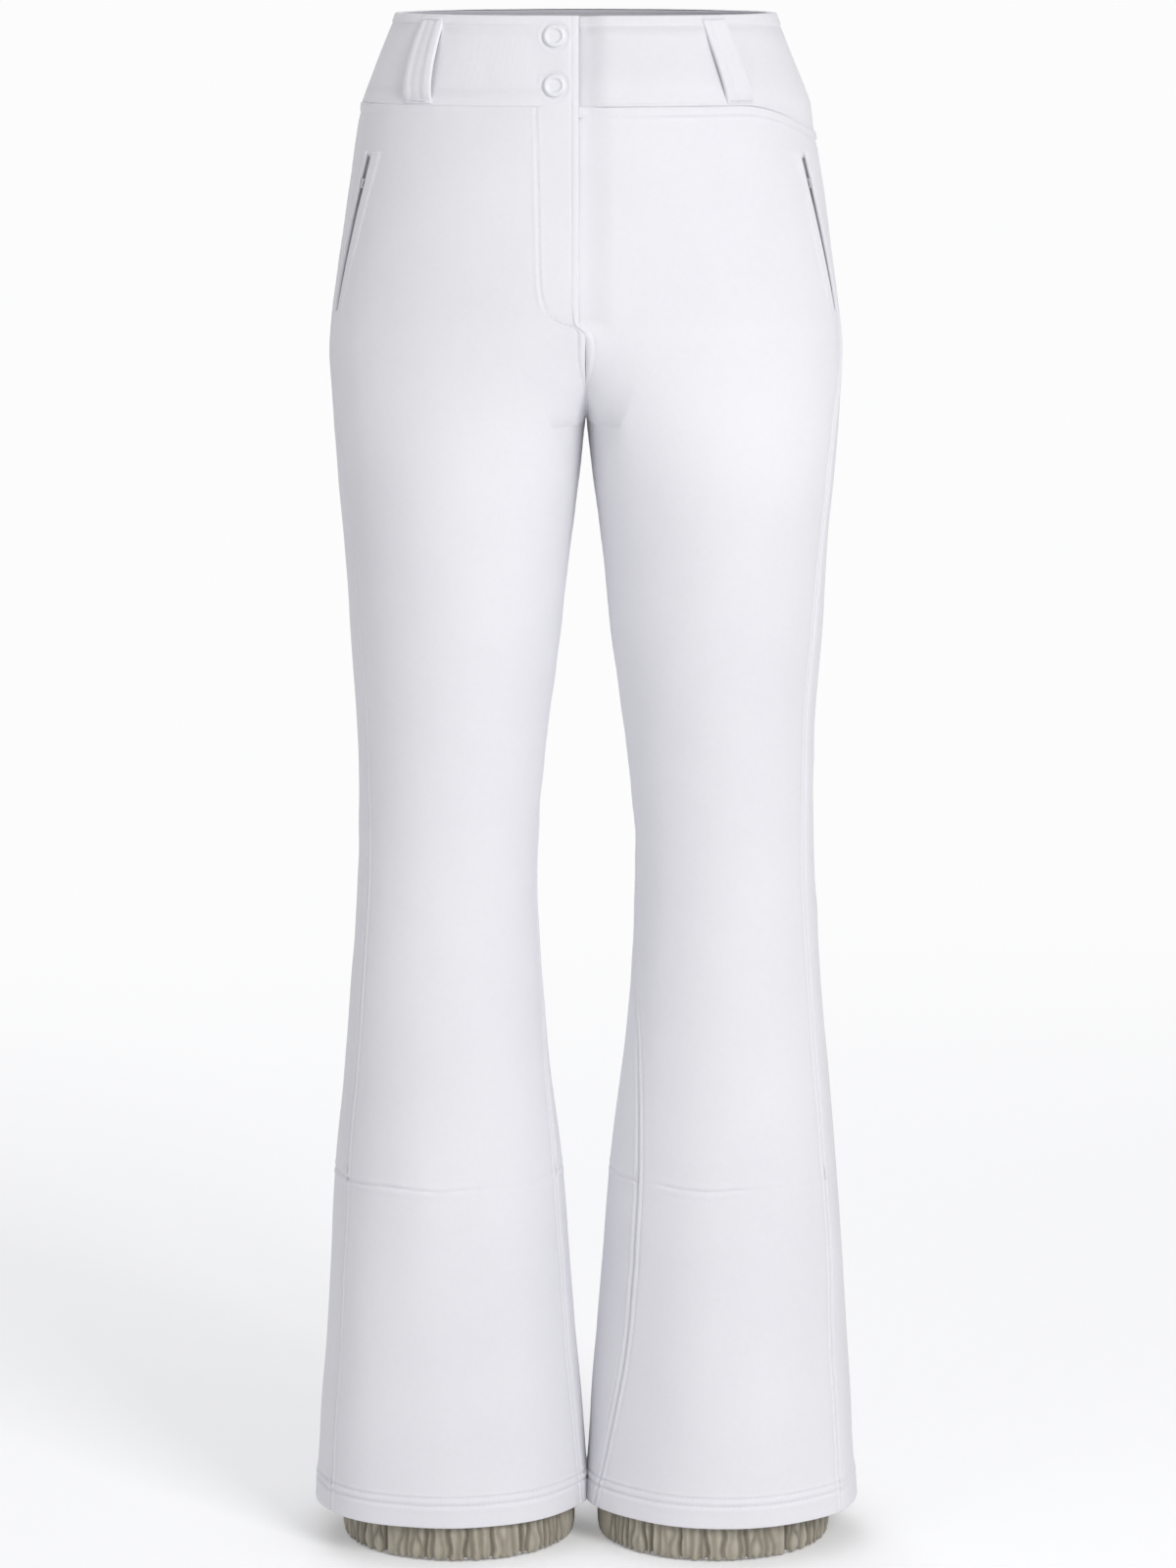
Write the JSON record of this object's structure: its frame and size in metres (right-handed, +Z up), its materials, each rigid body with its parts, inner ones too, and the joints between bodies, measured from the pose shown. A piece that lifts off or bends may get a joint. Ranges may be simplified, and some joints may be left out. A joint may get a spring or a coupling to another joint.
{
  "type": "ski pants",
  "caption": "High-waisted flared softshell ski pants with a snapped and zipped fly, zipped hand pockets, belt loops and elastic inner gaiters.",
  "frame": {"origin": "floor plane under the gaiters, midway between the legs, on the side seam plane", "axes": "+Z up along the body, -Y the wearer's front, +X the wearer's left"},
  "size_m": [0.39, 0.2314, 1.098],
  "materials": {
    "shell": "matt brushed stretch softshell, fine twill",
    "lining": "smooth woven lining",
    "elastic": "woven elastic with a soft grip face",
    "gaiter_taffeta": "thin satin-sheen taffeta, gathered",
    "snap_plastic": "enamelled white",
    "zip_metal": "nickel plated",
    "zip_tape": "knitted tape",
    "zip_teeth": "moulded"
  },
  "bodies": {
    "hips": {"waistband_left": "shell", "waistband_right": "shell", "waistband_back": "shell", "waistband_binding": "shell", "waistband_facing": "lining", "waist_elastic": "elastic", "belt_loops_front": "shell", "belt_loops_back": "shell", "hip_front_left": "shell", "hip_front_right": "shell", "hip_back_left": "shell", "hip_back_right": "shell", "snap_studs": "zip_metal", "fly_zip_tapes": "zip_tape", "fly_zip_teeth": "zip_teeth", "fly_zip_stops": "zip_metal", "fly_shield": "lining", "pocket_welts_left": "shell", "pocket_welts_right": "shell", "pocket_bag_left": "lining", "pocket_bag_right": "lining", "pocket_zip_tapes_left": "zip_tape", "pocket_zip_tapes_right": "zip_tape", "pocket_zip_teeth_left": "zip_teeth", "pocket_zip_teeth_right": "zip_teeth"},
    "fly_flap": {"flap_band": "shell", "flap_front": "shell", "flap_facing": "lining", "snap_caps": "snap_plastic", "snap_sockets": "zip_metal"},
    "fly_slider": {"fly_slider": "zip_metal"},
    "fly_pull": {"fly_pull": "zip_metal"},
    "pocket_slider_left": {"pocket_slider_left": "zip_metal"},
    "pocket_pull_left": {"pocket_pull_left": "zip_metal"},
    "thigh_left": {"thigh_front_left": "shell", "thigh_back_left": "shell"},
    "shin_left": {"shin_front_left": "shell", "shin_back_left": "shell", "hem_fold_left": "shell", "gaiter_sleeve_left": "gaiter_taffeta"},
    "gaiter_left": {"gaiter_cuff_left": "gaiter_taffeta", "gaiter_elastic_left": "elastic"},
    "pocket_slider_right": {"pocket_slider_right": "zip_metal"},
    "pocket_pull_right": {"pocket_pull_right": "zip_metal"},
    "thigh_right": {"thigh_front_right": "shell", "thigh_back_right": "shell"},
    "shin_right": {"shin_front_right": "shell", "shin_back_right": "shell", "hem_fold_right": "shell", "gaiter_sleeve_right": "gaiter_taffeta"},
    "gaiter_right": {"gaiter_cuff_right": "gaiter_taffeta", "gaiter_elastic_right": "elastic"}
  },
  "joints": [
    {"name": "fly_flap_fold", "type": "hinge", "parent": "hips", "child": "fly_flap", "pos_m": [-0.008, -0.1072, 0.88], "axis": [0.1485, -0.0452, -0.9879], "range_deg": [0, 60]},
    {"name": "fly_zip_slide", "type": "slide", "parent": "hips", "child": "fly_slider", "axis": [0, -0.035, -0.9994], "range_m": [0, 0.115]},
    {"name": "fly_pull_swing", "type": "hinge", "parent": "fly_slider", "child": "fly_pull", "pos_m": [-0.017, -0.09431, 1.01503], "axis": [-1, 0, 0], "range_deg": [0, 8]},
    {"name": "hip_bend_left", "type": "hinge", "parent": "hips", "child": "thigh_left", "pos_m": [0.092, 0, 0.899], "axis": [-1, 0, 0], "range_deg": [-15, 75]},
    {"name": "knee_bend_left", "type": "hinge", "parent": "thigh_left", "child": "shin_left", "pos_m": [0.1, 0, 0.5], "axis": [1, 0, 0], "range_deg": [0, 90]},
    {"name": "gaiter_slide_left", "type": "slide", "parent": "shin_left", "child": "gaiter_left", "axis": [0, 0, 1], "range_m": [0, 0.05], "deforming": ["gaiter_sleeve_left"]},
    {"name": "pocket_zip_slide_left", "type": "slide", "parent": "hips", "child": "pocket_slider_left", "axis": [0.206, 0.1585, -0.9656], "range_m": [0, 0.07]},
    {"name": "pocket_pull_swing_left", "type": "hinge", "parent": "pocket_slider_left", "child": "pocket_pull_left", "pos_m": [0.15905, -0.03413, 0.97527], "axis": [-0.1515, -0.9697, -0.1915], "range_deg": [0, 150]},
    {"name": "hip_bend_right", "type": "hinge", "parent": "hips", "child": "thigh_right", "pos_m": [-0.092, 0, 0.899], "axis": [-1, 0, 0], "range_deg": [-15, 75]},
    {"name": "knee_bend_right", "type": "hinge", "parent": "thigh_right", "child": "shin_right", "pos_m": [-0.1, 0, 0.5], "axis": [1, 0, 0], "range_deg": [0, 90]},
    {"name": "gaiter_slide_right", "type": "slide", "parent": "shin_right", "child": "gaiter_right", "axis": [0, 0, 1], "range_m": [0, 0.05], "deforming": ["gaiter_sleeve_right"]},
    {"name": "pocket_zip_slide_right", "type": "slide", "parent": "hips", "child": "pocket_slider_right", "axis": [-0.206, 0.1585, -0.9656], "range_m": [0, 0.07]},
    {"name": "pocket_pull_swing_right", "type": "hinge", "parent": "pocket_slider_right", "child": "pocket_pull_right", "pos_m": [-0.15905, -0.03413, 0.97527], "axis": [-0.1515, 0.9697, 0.1915], "range_deg": [0, 150]}
  ]
}
